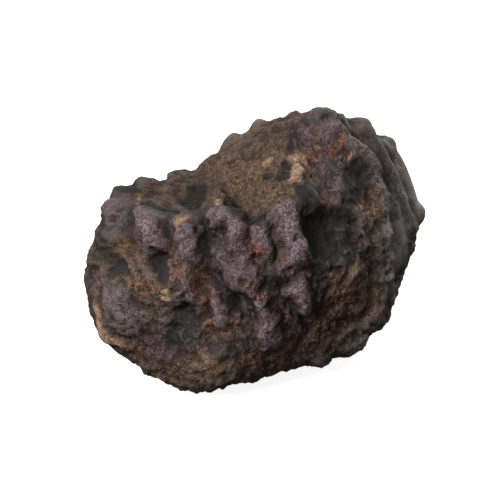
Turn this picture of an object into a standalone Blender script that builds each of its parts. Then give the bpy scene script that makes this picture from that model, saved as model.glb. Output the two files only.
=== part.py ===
"""A weathered stony meteorite, one solid stone, for Blender 4.5.

The stone is an icosphere whose points are moved along their own directions from a centre
inside it. Its body is two lumps grown together, each bounded by worn faces that meet in
rounded edges. Knobs, hollows, ribs and grooves are then raised on it or pressed into it.
The front is laid out on a plane that leans back by LEAN degrees through the centre, with
points given as millimetres across to the right and up from the centre.
Metres, +Z up. The origin is under the middle of the stone, on the surface it stands on.
"""
import bpy
import numpy as np

MILLIMETRE = 0.001
ROUNDS_OF_SUBDIVISION = 5      # of the icosphere: 5120 triangles, about 1.5 mm across
CENTRE_HEIGHT = 17.5           # mm, of the inner point that every direction starts from
LEAN = np.radians(25)          # how far the layout plane leans back
EYE = 214.0                    # mm, how far in front of the centre the layout is looked at from
LAYOUT_REACH = 35.0            # mm, the stone is nowhere thicker than this from the layout plane
LAYOUT_STEPS = 280             # how many places are tried along each sight line
EDGE_SHARPNESS = 22            # how sharply two faces of the body meet
BEND_SIZE = 3.0                # mm, how far apart the bends of a rib or groove are
BEND_AMOUNT = 1.0              # mm, how far they wander
NOISE_SEED = 7
GROOVE_SHARPNESS = 1.5         # how quickly a groove shallows away from its middle line
MOST_RELIEF = 3.4              # mm, what the height of overlapping features levels off at
DARK_BROWN = (0.075, 0.055, 0.047, 1.0)
STONE_ROUGHNESS = 0.45

CENTRE = np.array((0.0, 0.0, CENTRE_HEIGHT))
ACROSS = np.array((1.0, 0.0, 0.0))
UP = np.array((0.0, np.sin(LEAN), np.cos(LEAN)))
TOWARDS = np.array((0.0, -np.cos(LEAN), np.sin(LEAN)))

# The worn faces. For each: its clock angle on the layout plane (0 to the right, 90 up), how
# far it turns to the front (less than 0: to the back), both in degrees, and how far it is
# from the centre, in mm.
LOW_LUMP = {
    "right end": (0, 0, 25.0),
    "lower right": (-20, 0, 24.0),
    "lower right corner": (-45, 0, 23.2),
    "lower right toe": (-62, 0, 22.2),
    "belly": (-76, 0, 18.9),
    "foot": (-112, 0, 26.2),
    "lower left corner": (-131, 0, 26.6),
    "left toe": (-155, 0, 31.0),
    "left end": (-174, 0, 26.8),
    "left shoulder": (156, 0, 23.5),
    "far rim of the top": (100, 0, 14.0),
    "upper right": (25, 0, 23.0),
    "dark hollow": (32, 54, 12.6),
    "top": (90, 25, 9.0),
    "upper front": (90, 75, 11.2),
    "lower front": (-90, 84, 13.0),
    "under the front": (-70, 45, 19.6),
    "under the left of the front": (-125, 40, 25.0),
    "left of the front": (-143, 52, 18.6),
    "upper left of the front": (162, 63, 16.2),
    "right of the front": (-39, 54, 13.4),
    "right side": (12, 35, 16.2),
    "lower right side": (-22, 23, 19.6),
    "base": (-90, -25, 18.0),
    "base on the right": (-74, -24, 19.2),
    "base at the back": (-90, -40, 20.0),
    "base on the left": (-106, -24, 20.6),
    "back": (90, -65, 21.0),
    "back on the left": (150, -47, 22.5),
    "back on the right": (30, -47, 23.5),
    "upper back": (108, -13, 16.0),
    "lower back": (-90, -80, 22.5),
}
HIGH_LUMP = {
    "left slope": (130, 0, 16.0),
    "crown": (101, 0, 20.0),
    "right of the crown": (73, 0, 24.4),
    "right shoulder": (53, 0, 27.6),
    "far lobe": (20, 0, 29.8),
    "under the far lobe": (-30, 0, 20.6),
    "low": (-90, 0, 11.0),
    "low, right": (-58, 0, 14.0),
    "low, right of the front": (-39, 54, 11.5),
    "low, back": (-90, -60, 14.0),
    "front": (0, 90, 10.5),
    "towards the left": (180, 0, 14.0),
    "slope of the top": (133, 37, 8.8),
    "front of the peak": (90, 58, 11.6),
    "dark hollow": (32, 54, 13.0),
    "side of the crest": (12, 35, 16.4),
    "upper back": (90, -20, 22.0),
    "back": (90, -65, 21.0),
    "back of the far lobe": (30, -47, 28.0),
}

# How far each feature reaches from its middle, how high it rises (less than 0: how deep it
# goes), and its point or its line of points on the layout, all in mm.
FEATURES = {
    # Along the top edge, from the left to the right.
    "left shoulder": (3.0, 1.4, (-22.3, 10)),
    "left horn": (2.6, 2.4, (-18.8, 12.2)),
    "notch by the left horn": (2.2, -1.8, (-16, 11.6)),
    "swelling of the rim": (3.2, 1.6, (-13, 12.6)),
    "small rim knob": (2.0, 0.4, (-8.3, 14)),
    "notch in the rim": (1.8, -1.9, (-6.6, 13.9)),
    "far knob, left": (2.4, 1.5, (-4, 17)),
    "notch between the far knobs": (1.8, -1.5, (-2.2, 17.6)),
    "far knob, middle": (2.2, 1.3, (0, 19.8)),
    "peak, left corner": (2.0, 1.0, (5.5, 21.2)),
    "peak": (2.4, 0.5, (9.4, 21.7)),
    "peak, right corner": (2.0, 0.4, (12, 21.2)),
    "notch beside the peak": (2.2, -1.9, (14.9, 19.7)),
    "knob beside the peak": (2.2, 1.0, (16.4, 20.1)),
    "dip above the far lobe": (2.2, -1.0, (19, 17.9)),
    "bump above the far lobe": (2.4, 1.0, (21, 17.1)),
    "far lobe tip": (3.0, 1.5, (25.8, 5.3)),
    "step under the far lobe": (2.6, -1.2, (24.6, 1.5)),
    "lower right knob": (2.6, 0.6, (24, -0.3)),
    "lower right notch": (2.4, -1.0, (21.8, -4.5)),
    "swell of the right edge": (3.0, 0.6, (19.3, -11.2)),
    "swell of the lower edge": (3.0, 1.0, (9.5, -17)),
    "nick above the left end": (2.8, -0.5, (-24.3, 4.2)),
    "dip of the left end": (2.8, -0.6, (-26, -4)),
    "swell of the lower left corner": (3.0, 0.7, (-22.7, -13)),
    "swell of the lower right edge": (3.0, 0.9, (14, -16)),
    "hollow of the lower left edge": (3.5, -0.8, (-20, -16.2)),
    # On the top.
    "long hollow of the top": (5.0, -2.8, (-11.3, 9.2), (-9.7, 6.3)),
    "middle hollow of the top": (4.2, -2.5, (-3, 8.3), (-1.3, 6.3)),
    "rim of the top": (2.2, 0.7, (-5.5, 14), (-3, 15.5), (-1, 16.5), (1, 18), (3, 18.5)),
    "front knob of the top": (3.4, 2.4, (7, 7.5)),
    # On the front, from the left to the right.
    "left pillar": (3.8, 1.2, (-22, 7), (-23, 3)),
    "second pillar": (3.4, 1.5, (-17.3, 6), (-16.5, 4), (-15.8, 1.5)),
    "third pillar": (4.2, 1.6, (-11, 4), (-10.3, 2), (-10, 0)),
    "groove beside the left pillar": (2.4, -1.4, (-19.8, 7), (-19.6, 4), (-20, 1)),
    "groove beside the second pillar": (2.0, -1.7, (-13.9, 6.3), (-13.6, 3.5), (-13.5, 0.5)),
    "groove between the pillars": (1.8, -1.4, (-8, 4), (-7.3, 2), (-7.5, -1)),
    "bow": (2.6, 1.8, (-6.6, 4), (-5.6, 5.3), (-4, 4.9), (-2.8, 3), (-2.4, 0.5)),
    "fifth pillar": (2.8, 1.1, (0, 3.5), (1.2, 1)),
    "bright pillar": (3.6, 2.1, (3.8, 5.3), (5, 3), (6.2, 0.3)),
    "big dark hollow": (5.4, -3.2, (9.7, 2.2)),
    "hollow below the crest": (4.0, -0.9, (13, 3.5)),
    "upper right hollow": (2.6, -0.8, (15.5, 12)),
    "middle dome": (3.8, 2.1, (-2.3, -3.9)),
    "low knob": (3.0, 1.3, (-11.5, -4)),
    "black pit": (2.6, -2.4, (-16, -2)),
    "pit on the left": (2.8, -1.6, (-22.5, -2.5)),
    "left dome": (5.0, 2.0, (-20.5, -9)),
    "dark lower hollow": (4.2, -2.2, (-12, -11)),
    "slanting groove": (3.0, -2.3, (-8, -3.6), (-5, -6), (-2.8, -8.2), (-1.2, -10)),
    "lower groove": (2.2, -1.5, (-8.5, -6), (-8, -9), (-7, -12), (-6.5, -14)),
    "curved rib": (3.2, 1.6, (-1.3, -6), (0.3, -8.5), (1.5, -11), (2.3, -12.5)),
    "dip between the ribs": (2.6, -1.2, (4, -6), (4.5, -9)),
    "ridge beside the lower groove": (2.2, 1.1, (-6, -8), (-5.6, -11)),
    "short rib": (2.4, 1.8, (6, -6), (7, -8)),
    "right swell": (6.5, 0.8, (13, -6)),
    "lower left swell": (5.0, 0.6, (-14.5, -15)),
    "lower middle swell": (4.5, 0.5, (1, -15)),
    "low hollow on the right": (3.0, -0.6, (7, -14)),
    # The right end.
    "crest": (
        2.6, 1.4, (10, 20.5), (13, 18), (15, 15), (17.5, 12), (18.5, 9), (19, 5), (19, 0),
        (19.5, -5), (18, -9), (15.5, -14)),
    "second crest": (
        2.4, 1.1, (14, 20), (17, 18), (19.3, 15), (21.2, 11.5), (22.5, 8), (23.7, 4), (24, 1)),
    "valley behind the crest": (
        2.2, -1.3, (13.3, 19.3), (16.3, 16), (18.8, 13), (20.3, 10), (21.2, 5), (21.3, 0), (21, -4)),
    "valley before the far lobe": (2.4, -0.9, (18.5, 17), (20.5, 14), (22, 10), (24, 5.5)),
}
# The same for the side that the layout doesn't show, with clock angles and turns in degrees.
BACK_FEATURES = {
    "back hollow, left": (6.0, -1.8, (150, -50)),
    "back hollow, upper": (6.5, -1.7, (100, -50)),
    "back hollow, right": (5.0, -1.3, (60, -45)),
    "back hollow, lower right": (6.5, -1.8, (10, -70)),
    "back hollow, low": (5.0, -1.3, (-160, -75)),
    "back knob, middle": (4.0, 1.2, (80, -72)),
    "back knob, right": (3.5, 1.0, (20, -35)),
    "back rib": (3.0, 1.0, (120, -45), (135, -60), (160, -68)),
    "far right rib": (3.0, 0.9, (75, -40), (60, -58), (40, -60)),
    "left end hollow": (5.0, -1.4, (172, -18)),
    "left end knob": (3.0, 0.9, (-170, -35)),
}


def clear_the_scene():
    """Remove every object, so that the script can run again in the same file."""
    for thing in list(bpy.data.objects):
        bpy.data.objects.remove(thing, do_unlink=True)


def directions_of(points):
    """Each vector at length 1."""
    return points / np.linalg.norm(points, axis=-1, keepdims=True)


def turned(clock, turn):
    """The direction at a clock angle on the layout plane, turned from it to the front, in degrees."""
    clock, turn = np.radians((clock, turn))
    around = np.cos(clock) * ACROSS + np.sin(clock) * UP
    return np.cos(turn) * around + np.sin(turn) * TOWARDS


def lump_radius(directions, faces):
    """From the centre to a lump's surface. The flat faces alone would give the least of
    distance / (direction . face); powers of EDGE_SHARPNESS round off the edges between them."""
    nearness = np.zeros(directions.shape[:-1])
    for clock, turn, distance in faces.values():
        nearness += np.maximum(directions @ turned(clock, turn) / distance, 0) ** EDGE_SHARPNESS
    return nearness ** (-1 / EDGE_SHARPNESS)


def body_radius(directions):
    """From the centre to the surface of the two lumps together, the greater of their radii
    with the same rounding."""
    radii = [lump_radius(directions, faces) ** EDGE_SHARPNESS for faces in (LOW_LUMP, HIGH_LUMP)]
    return sum(radii) ** (1 / EDGE_SHARPNESS)


def body(directions):
    """The places on the body in these directions, in mm."""
    return CENTRE + directions * body_radius(directions)[..., None]


def laid_out(points):
    """The places on the body that show at these points of the layout, in mm. Each sight line is
    followed from in front until it is inside the body; one that misses gives its closest place."""
    across, up = np.array(points, dtype=float).T
    depth = np.linspace(LAYOUT_REACH, -LAYOUT_REACH, LAYOUT_STEPS)[:, None]
    on_plane = across[:, None] * ACROSS + up[:, None] * UP
    line = on_plane[:, None] * (1 - depth / EYE) + depth * TOWARDS
    inside = body_radius(directions_of(line)) - np.linalg.norm(line, axis=-1)
    first = np.where((inside > 0).any(axis=1), (inside > 0).argmax(axis=1), inside.argmax(axis=1))
    return body(directions_of(line[np.arange(len(line)), first]))


def noise(places, seed):
    """Smooth noise of about -0.7 to 0.7: random slopes at whole-number places, blended between."""
    slopes = directions_of(np.random.default_rng(seed).normal(size=(256, 3)))
    shuffled = np.random.default_rng(seed + 1).permutation(256)
    cell = np.floor(places).astype(int)
    inside = places - cell
    blend = inside ** 3 * (inside * (inside * 6 - 15) + 10)
    total = np.zeros(len(places))
    for corner in np.ndindex(2, 2, 2):
        x, y, z = (cell + corner).T
        slope = slopes[shuffled[(shuffled[(shuffled[x & 255] + y) & 255] + z) & 255]]
        share = np.prod(np.where(corner, blend, 1 - blend), axis=1)
        total += share * np.sum(slope * (inside - corner), axis=1)
    return total


def bend(places):
    """The places moved a little, so that round and straight features turn out irregular."""
    moves = [noise(places / BEND_SIZE, NOISE_SEED + axis) for axis in range(3)]
    return places + BEND_AMOUNT * np.stack(moves, axis=-1)


def distance_to(route, places):
    """How far each place is from a route of straight runs, or from its only point."""
    nearest = np.full(len(places), np.inf)
    for start, end in zip(route, route[1:] if len(route) > 1 else route):
        run = end - start
        along = np.clip((places - start) @ run / max(run @ run, 1e-9), 0, 1)
        gap = np.linalg.norm(places - start - along[:, None] * run, axis=1)
        nearest = np.minimum(nearest, gap)
    return nearest


def relief(places):
    """The height of all the features at these places on the body, in mm. With t the distance
    over the reach, it is rise (1 - t squared) squared, which is round on top, or for a groove
    rise (1 - t) to the power GROOVE_SHARPNESS, which is sharp at the bottom."""
    height = np.zeros(len(places))
    bent = bend(places)
    features = [(row, laid_out(row[2:])) for row in FEATURES.values()]
    for row in BACK_FEATURES.values():
        features.append((row, body(np.array([turned(*angles) for angles in row[2:]]))))
    for (reach, rise, *_), route in features:
        away = np.minimum(distance_to(bend(route), bent) / reach, 1)
        if rise < 0 and len(route) > 1:
            height += rise * (1 - away) ** GROOVE_SHARPNESS
        else:
            height += rise * (1 - away ** 2) ** 2
    return MOST_RELIEF * np.tanh(height / MOST_RELIEF)


def stone(directions):
    """The stone's surface in metres, flattened where it rests, standing over the origin."""
    places = body(directions)
    places = places + directions * relief(places)[:, None]
    places[:, 2] = np.maximum(places[:, 2], 0)
    middle = (places.min(axis=0) + places.max(axis=0)) / 2
    places[:, :2] -= middle[:2]
    return places * MILLIMETRE


def stone_material():
    """A dark brown, slightly glossy crust."""
    material = bpy.data.materials.new("meteorite")
    material.use_nodes = True
    shader = material.node_tree.nodes["Principled BSDF"]
    shader.inputs["Base Color"].default_value = DARK_BROWN
    shader.inputs["Roughness"].default_value = STONE_ROUGHNESS
    shader.inputs["Metallic"].default_value = 0.0
    return material


def make_meteorite(collection):
    """The whole stone: an icosphere with its points moved onto the stone's surface."""
    bpy.ops.mesh.primitive_ico_sphere_add(subdivisions=ROUNDS_OF_SUBDIVISION, radius=1.0)
    meteorite = bpy.context.object
    meteorite.name = "meteorite"
    mesh = meteorite.data
    mesh.name = "meteorite"
    ball = np.empty(len(mesh.vertices) * 3)
    mesh.vertices.foreach_get("co", ball)
    surface = stone(directions_of(ball.reshape(-1, 3)))
    mesh.vertices.foreach_set("co", surface.ravel())
    mesh.update()
    mesh.shade_smooth()
    mesh.materials.append(stone_material())
    for other in list(meteorite.users_collection):
        other.objects.unlink(meteorite)
    collection.objects.link(meteorite)


clear_the_scene()
stone_collection = bpy.data.collections.new("meteorite")
bpy.context.scene.collection.children.link(stone_collection)
make_meteorite(stone_collection)
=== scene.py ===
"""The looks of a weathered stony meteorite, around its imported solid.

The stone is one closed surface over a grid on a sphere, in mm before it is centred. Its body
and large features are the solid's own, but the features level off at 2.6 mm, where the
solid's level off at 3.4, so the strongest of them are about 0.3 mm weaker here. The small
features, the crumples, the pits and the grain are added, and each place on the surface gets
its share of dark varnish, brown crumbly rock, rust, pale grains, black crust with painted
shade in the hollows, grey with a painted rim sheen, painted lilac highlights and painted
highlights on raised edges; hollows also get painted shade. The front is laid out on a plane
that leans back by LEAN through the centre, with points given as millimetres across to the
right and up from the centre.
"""
from math import radians, sin, cos

import bpy
import numpy as np
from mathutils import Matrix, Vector


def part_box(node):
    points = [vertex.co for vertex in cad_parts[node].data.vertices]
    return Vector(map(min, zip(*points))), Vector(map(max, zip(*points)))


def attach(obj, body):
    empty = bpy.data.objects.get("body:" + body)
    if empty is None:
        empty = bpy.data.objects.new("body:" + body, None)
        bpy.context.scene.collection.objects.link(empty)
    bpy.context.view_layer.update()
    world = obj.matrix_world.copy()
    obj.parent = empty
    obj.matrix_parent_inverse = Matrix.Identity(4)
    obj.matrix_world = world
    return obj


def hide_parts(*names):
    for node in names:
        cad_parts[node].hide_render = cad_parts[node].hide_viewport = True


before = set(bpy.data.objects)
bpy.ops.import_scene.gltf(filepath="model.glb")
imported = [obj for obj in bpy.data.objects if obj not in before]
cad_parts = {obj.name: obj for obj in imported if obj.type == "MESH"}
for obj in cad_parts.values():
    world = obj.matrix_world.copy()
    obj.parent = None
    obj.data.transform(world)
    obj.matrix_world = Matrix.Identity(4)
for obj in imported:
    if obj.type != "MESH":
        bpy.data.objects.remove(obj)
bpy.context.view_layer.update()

MILLIMETRE = 0.001
GRID = 128                     # squares along each side of the cube that the grid comes from
CENTRE_HEIGHT = 17.5           # mm, of the inner point that every direction starts from
LEAN = np.radians(25)          # how far the layout plane leans back
EYE = 214.0                    # mm, how far in front of the centre the layout is looked at from
LAYOUT_REACH = 35.0            # mm, the stone is nowhere thicker than this from the layout plane
LAYOUT_STEPS = 280             # how many places are tried along each sight line
EDGE_SHARPNESS = 22            # how sharply two faces of the body meet
BEND_SIZE = 3.0                # mm, how far apart the bends of a rib or groove are
BEND_AMOUNT = 1.0              # mm, how far they wander
NOISE_SEED = 7
GROOVE_SHARPNESS = 1.5         # how quickly a groove shallows away from its middle line
MOST_RELIEF = 2.6              # mm, what the height of overlapping features levels off at
SHORTEST_RUN = 1e-9            # mm2, keeps a route of one point from dividing by nothing

# The small relief: how large each kind is and how high it stands, in mm.
DRIFT_SIZE = 6.0               # of the slow change from one colour to another
CRUMPLE_SIZE = 5.0
CRUMPLE_HEIGHT = 0.75
SMALL_CRUMPLE_SIZE = 2.1
SMALL_CRUMPLE_HEIGHT = 0.40
LUMP_SIZE = 2.4
LUMP_HEIGHT = 0.60
LUMP_FADE = 0.6                # each finer layer of lumps is this many times as high
GRAIN_SIZE = 0.9
GRAIN_HEIGHT = 0.14
PIT_SPACING = 2.1
PIT_WANDER_SIZE = 1.1          # how far apart the bends of a pit's outline are
PIT_WANDER = 0.5               # how far they go
PIT_SIZE = 0.3                 # to which each pit adds PIT_SPREAD times its own number, 0 to 1
PIT_SPREAD = 0.4
NO_PIT = 0.72                  # up to this number, there is no pit
PIT_DEPTH = 0.35
RIM_PLACE = 1.2                # times the pit's size
RIM_WIDTH = 0.25
RIM_HEIGHT = 0.08
HOLLOW_ROUNDS = 8              # how widely a place is compared with what is around it
HOLLOW_SPAN = 0.25             # from what counts as fully raised to what counts as fully hollow
UPWARD_ROUNDS = 12             # how widely the slope is averaged, for where rock can crumble
SEEDS = {
    "drift": 41, "crumples": 51, "small crumples": 55, "lumps": 61, "pit wander": 71,
    "pits": 81, "grain": 91}

CENTRE = np.array((0.0, 0.0, CENTRE_HEIGHT))
ACROSS = np.array((1.0, 0.0, 0.0))
UP = np.array((0.0, np.sin(LEAN), np.cos(LEAN)))
TOWARDS = np.array((0.0, -np.cos(LEAN), np.sin(LEAN)))

# The worn faces. For each: its clock angle on the layout plane (0 to the right, 90 up), how
# far it turns to the front (less than 0: to the back), both in degrees, and how far it is
# from the centre, in mm.
LOW_LUMP = {
    "right end": (0, 0, 25.0),
    "lower right": (-20, 0, 24.0),
    "lower right corner": (-45, 0, 23.2),
    "lower right toe": (-62, 0, 22.2),
    "belly": (-76, 0, 18.9),
    "foot": (-112, 0, 26.2),
    "lower left corner": (-131, 0, 26.6),
    "left toe": (-155, 0, 31.0),
    "left end": (-174, 0, 26.8),
    "left shoulder": (156, 0, 23.5),
    "far rim of the top": (100, 0, 14.0),
    "upper right": (25, 0, 23.0),
    "dark hollow": (32, 54, 12.6),
    "top": (90, 25, 9.0),
    "upper front": (90, 75, 11.2),
    "lower front": (-90, 84, 13.0),
    "under the front": (-70, 45, 19.6),
    "under the left of the front": (-125, 40, 25.0),
    "left of the front": (-143, 52, 18.6),
    "upper left of the front": (162, 63, 16.2),
    "right of the front": (-39, 54, 13.4),
    "right side": (12, 35, 16.2),
    "lower right side": (-22, 23, 19.6),
    "base": (-90, -25, 18.0),
    "base on the right": (-74, -24, 19.2),
    "base at the back": (-90, -40, 20.0),
    "base on the left": (-106, -24, 20.6),
    "back": (90, -65, 21.0),
    "back on the left": (150, -47, 22.5),
    "back on the right": (30, -47, 23.5),
    "upper back": (108, -13, 16.0),
    "lower back": (-90, -80, 22.5),
}
HIGH_LUMP = {
    "left slope": (130, 0, 16.0),
    "crown": (101, 0, 20.0),
    "right of the crown": (73, 0, 24.4),
    "right shoulder": (53, 0, 27.6),
    "far lobe": (20, 0, 29.8),
    "under the far lobe": (-30, 0, 20.6),
    "low": (-90, 0, 11.0),
    "low, right": (-58, 0, 14.0),
    "low, right of the front": (-39, 54, 11.5),
    "low, back": (-90, -60, 14.0),
    "front": (0, 90, 10.5),
    "towards the left": (180, 0, 14.0),
    "slope of the top": (133, 37, 8.8),
    "front of the peak": (90, 58, 11.6),
    "dark hollow": (32, 54, 13.0),
    "side of the crest": (12, 35, 16.4),
    "upper back": (90, -20, 22.0),
    "back": (90, -65, 21.0),
    "back of the far lobe": (30, -47, 28.0),
}

# How far each feature reaches from its middle, how high it rises (less than 0: how deep it
# goes), and its point or its line of points on the layout, all in mm.
FEATURES = {
    # Along the top edge, from the left to the right.
    "left shoulder": (3.0, 1.4, (-22.3, 10)),
    "left horn": (2.6, 2.4, (-18.8, 12.2)),
    "notch by the left horn": (2.2, -1.8, (-16, 11.6)),
    "swelling of the rim": (3.2, 1.6, (-13, 12.6)),
    "small rim knob": (2.0, 0.4, (-8.3, 14)),
    "notch in the rim": (1.8, -1.9, (-6.6, 13.9)),
    "far knob, left": (2.4, 1.5, (-4, 17)),
    "notch between the far knobs": (1.8, -1.5, (-2.2, 17.6)),
    "far knob, middle": (2.2, 1.3, (0, 19.8)),
    "peak, left corner": (2.0, 1.0, (5.5, 21.2)),
    "peak": (2.4, 0.5, (9.4, 21.7)),
    "peak, right corner": (2.0, 0.4, (12, 21.2)),
    "notch beside the peak": (2.2, -1.9, (14.9, 19.7)),
    "knob beside the peak": (2.2, 1.0, (16.4, 20.1)),
    "dip above the far lobe": (2.2, -1.0, (19, 17.9)),
    "bump above the far lobe": (2.4, 1.0, (21, 17.1)),
    "far lobe tip": (3.0, 1.5, (25.8, 5.3)),
    "step under the far lobe": (2.6, -1.2, (24.6, 1.5)),
    "lower right knob": (2.6, 0.6, (24, -0.3)),
    "lower right notch": (2.4, -1.0, (21.8, -4.5)),
    "swell of the right edge": (3.0, 0.6, (19.3, -11.2)),
    "swell of the lower edge": (3.0, 1.0, (9.5, -17)),
    "nick above the left end": (2.8, -0.5, (-24.3, 4.2)),
    "dip of the left end": (2.8, -0.6, (-26, -4)),
    "swell of the lower left corner": (3.0, 0.7, (-22.7, -13)),
    "swell of the lower right edge": (3.0, 0.9, (14, -16)),
    "hollow of the lower left edge": (3.5, -0.8, (-20, -16.2)),
    # On the top.
    "long hollow of the top": (5.0, -2.8, (-11.3, 9.2), (-9.7, 6.3)),
    "middle hollow of the top": (4.2, -2.5, (-3, 8.3), (-1.3, 6.3)),
    "rim of the top": (2.2, 0.7, (-5.5, 14), (-3, 15.5), (-1, 16.5), (1, 18), (3, 18.5)),
    "front knob of the top": (3.4, 2.4, (7, 7.5)),
    # On the front, from the left to the right.
    "left pillar": (3.8, 1.2, (-22, 7), (-23, 3)),
    "second pillar": (3.4, 1.5, (-17.3, 6), (-16.5, 4), (-15.8, 1.5)),
    "third pillar": (4.2, 1.6, (-11, 4), (-10.3, 2), (-10, 0)),
    "groove beside the left pillar": (2.4, -1.4, (-19.8, 7), (-19.6, 4), (-20, 1)),
    "groove beside the second pillar": (2.0, -1.7, (-13.9, 6.3), (-13.6, 3.5), (-13.5, 0.5)),
    "groove between the pillars": (1.8, -1.4, (-8, 4), (-7.3, 2), (-7.5, -1)),
    "bow": (2.6, 1.8, (-6.6, 4), (-5.6, 5.3), (-4, 4.9), (-2.8, 3), (-2.4, 0.5)),
    "fifth pillar": (2.8, 1.1, (0, 3.5), (1.2, 1)),
    "bright pillar": (3.6, 2.1, (3.8, 5.3), (5, 3), (6.2, 0.3)),
    "big dark hollow": (5.4, -3.2, (9.7, 2.2)),
    "hollow below the crest": (4.0, -0.9, (13, 3.5)),
    "upper right hollow": (2.6, -0.8, (15.5, 12)),
    "middle dome": (3.8, 2.1, (-2.3, -3.9)),
    "low knob": (3.0, 1.3, (-11.5, -4)),
    "black pit": (2.6, -2.4, (-16, -2)),
    "pit on the left": (2.8, -1.6, (-22.5, -2.5)),
    "left dome": (5.0, 2.0, (-20.5, -9)),
    "dark lower hollow": (4.2, -2.2, (-12, -11)),
    "slanting groove": (3.0, -2.3, (-8, -3.6), (-5, -6), (-2.8, -8.2), (-1.2, -10)),
    "lower groove": (2.2, -1.5, (-8.5, -6), (-8, -9), (-7, -12), (-6.5, -14)),
    "curved rib": (3.2, 1.6, (-1.3, -6), (0.3, -8.5), (1.5, -11), (2.3, -12.5)),
    "dip between the ribs": (2.6, -1.2, (4, -6), (4.5, -9)),
    "ridge beside the lower groove": (2.2, 1.1, (-6, -8), (-5.6, -11)),
    "short rib": (2.4, 1.8, (6, -6), (7, -8)),
    "right swell": (6.5, 0.8, (13, -6)),
    "lower left swell": (5.0, 0.6, (-14.5, -15)),
    "lower middle swell": (4.5, 0.5, (1, -15)),
    "low hollow on the right": (3.0, -0.6, (7, -14)),
    # The right end.
    "crest": (
        2.6, 1.4, (10, 20.5), (13, 18), (15, 15), (17.5, 12), (18.5, 9), (19, 5), (19, 0),
        (19.5, -5), (18, -9), (15.5, -14)),
    "second crest": (
        2.4, 1.1, (14, 20), (17, 18), (19.3, 15), (21.2, 11.5), (22.5, 8), (23.7, 4), (24, 1)),
    "valley behind the crest": (
        2.2, -1.3, (13.3, 19.3), (16.3, 16), (18.8, 13), (20.3, 10), (21.2, 5), (21.3, 0),
        (21, -4)),
    "valley before the far lobe": (2.4, -0.9, (18.5, 17), (20.5, 14), (22, 10), (24, 5.5)),
    # Small ones on the top.
    "small far knob": (1.6, 0.4, (2.7, 20.4)),
    "nick by the peak": (1.4, -0.4, (4, 20.4)),
    "ridge on the horn": (1.2, 0.4, (-19, 10.5), (-17, 9.2)),
    "low rib under the rim": (1.4, 0.4, (-14, 10.5), (-12, 11.5), (-9, 11.5)),
    "deep end of the long hollow": (2.2, -0.6, (-11, 7)),
    "thin crest of the top": (1.3, 0.6, (-5.5, 9), (-6, 7), (-6.7, 5.2)),
    "valley behind the rim": (1.6, -0.5, (-4.5, 15.3), (-1.5, 17.3)),
    "rib towards the peak": (1.6, 0.5, (4.8, 18.5), (4.5, 15.5)),
    "dark pit of the top": (1.3, -0.7, (1.4, 11.4)),
    "groove by the pale facet": (1.3, -0.9, (4.8, 13.5), (4, 11.5)),
    "pale facet": (2.0, 0.5, (6, 12)),
    "eye of the front knob": (1.2, -0.5, (6, 8.6)),
    "lump on the peak, left": (2.0, 0.5, (7, 18)),
    "lump on the peak, right": (2.0, 0.5, (11, 18)),
    "pit of the far lobe": (1.2, -0.4, (22, 13.5)),
    "rib in the crest band": (1.2, 0.4, (16, 15), (19.5, 10.5), (20, 8)),
    "brown dip on the right": (2.8, -0.7, (16.3, 7)),
    # Small ones on the front, from the left to the right.
    "slit under the lip": (1.6, -1.4, (-17, 7), (-14.3, 6.2)),
    "cut over the third pillar": (1.3, -0.7, (-10.5, 4.2), (-7, 4)),
    "pit in the bow": (1.5, -0.7, (-5, 3)),
    "knob under the bow": (2.4, 0.5, (-4.3, 1)),
    "groove right of the bow": (1.5, -1.1, (-1.3, 4.3), (-1, 1.5)),
    "groove right of the fifth pillar": (1.3, -0.9, (2.3, 3), (3, 0), (2.8, -2)),
    "seam of the dome": (1.4, -0.5, (0.3, -1), (1, -3)),
    "rib beside the low knob": (1.4, 0.5, (-10, -3.5), (-10, -5.5)),
    "black pit's neighbour": (1.6, -0.9, (-14.3, -4)),
    "ring pit": (1.2, -0.5, (-18, -8.5)),
    "pale grain": (1.2, 0.3, (-14, -6.8)),
    "pocket": (1.8, -1.0, (-2.8, -8)),
    "rim of the pocket": (1.0, 0.5, (-4.5, -8.7), (-3, -9.7), (-1.5, -9.3)),
    "thin rib": (1.5, 0.6, (4, -8), (5.5, -11)),
    "groove between the ribs": (1.2, -0.8, (5, -7.5), (7, -10.5)),
    "small swell on the right": (2.2, 0.6, (14.3, -2.8)),
    "groove above the small swell": (1.5, -0.7, (16.5, -1.5), (17.8, -3.5)),
    "low hollow in the middle": (3.2, -0.5, (-4, -16.5)),
    "lower left edge": (1.6, 0.5, (-24.3, -9), (-24, -11), (-22, -14), (-20, -15.5)),
}
# The same for the side that the layout doesn't show, with clock angles and turns in degrees.
BACK_FEATURES = {
    "back hollow, left": (6.0, -1.8, (150, -50)),
    "back hollow, upper": (6.5, -1.7, (100, -50)),
    "back hollow, right": (5.0, -1.3, (60, -45)),
    "back hollow, lower right": (6.5, -1.8, (10, -70)),
    "back hollow, low": (5.0, -1.3, (-160, -75)),
    "back knob, middle": (4.0, 1.2, (80, -72)),
    "back knob, right": (3.5, 1.0, (20, -35)),
    "back rib": (3.0, 1.0, (120, -45), (135, -60), (160, -68)),
    "far right rib": (3.0, 0.9, (75, -40), (60, -58), (40, -60)),
    "left end hollow": (5.0, -1.4, (172, -18)),
    "left end knob": (3.0, 0.9, (-170, -35)),
}
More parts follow.
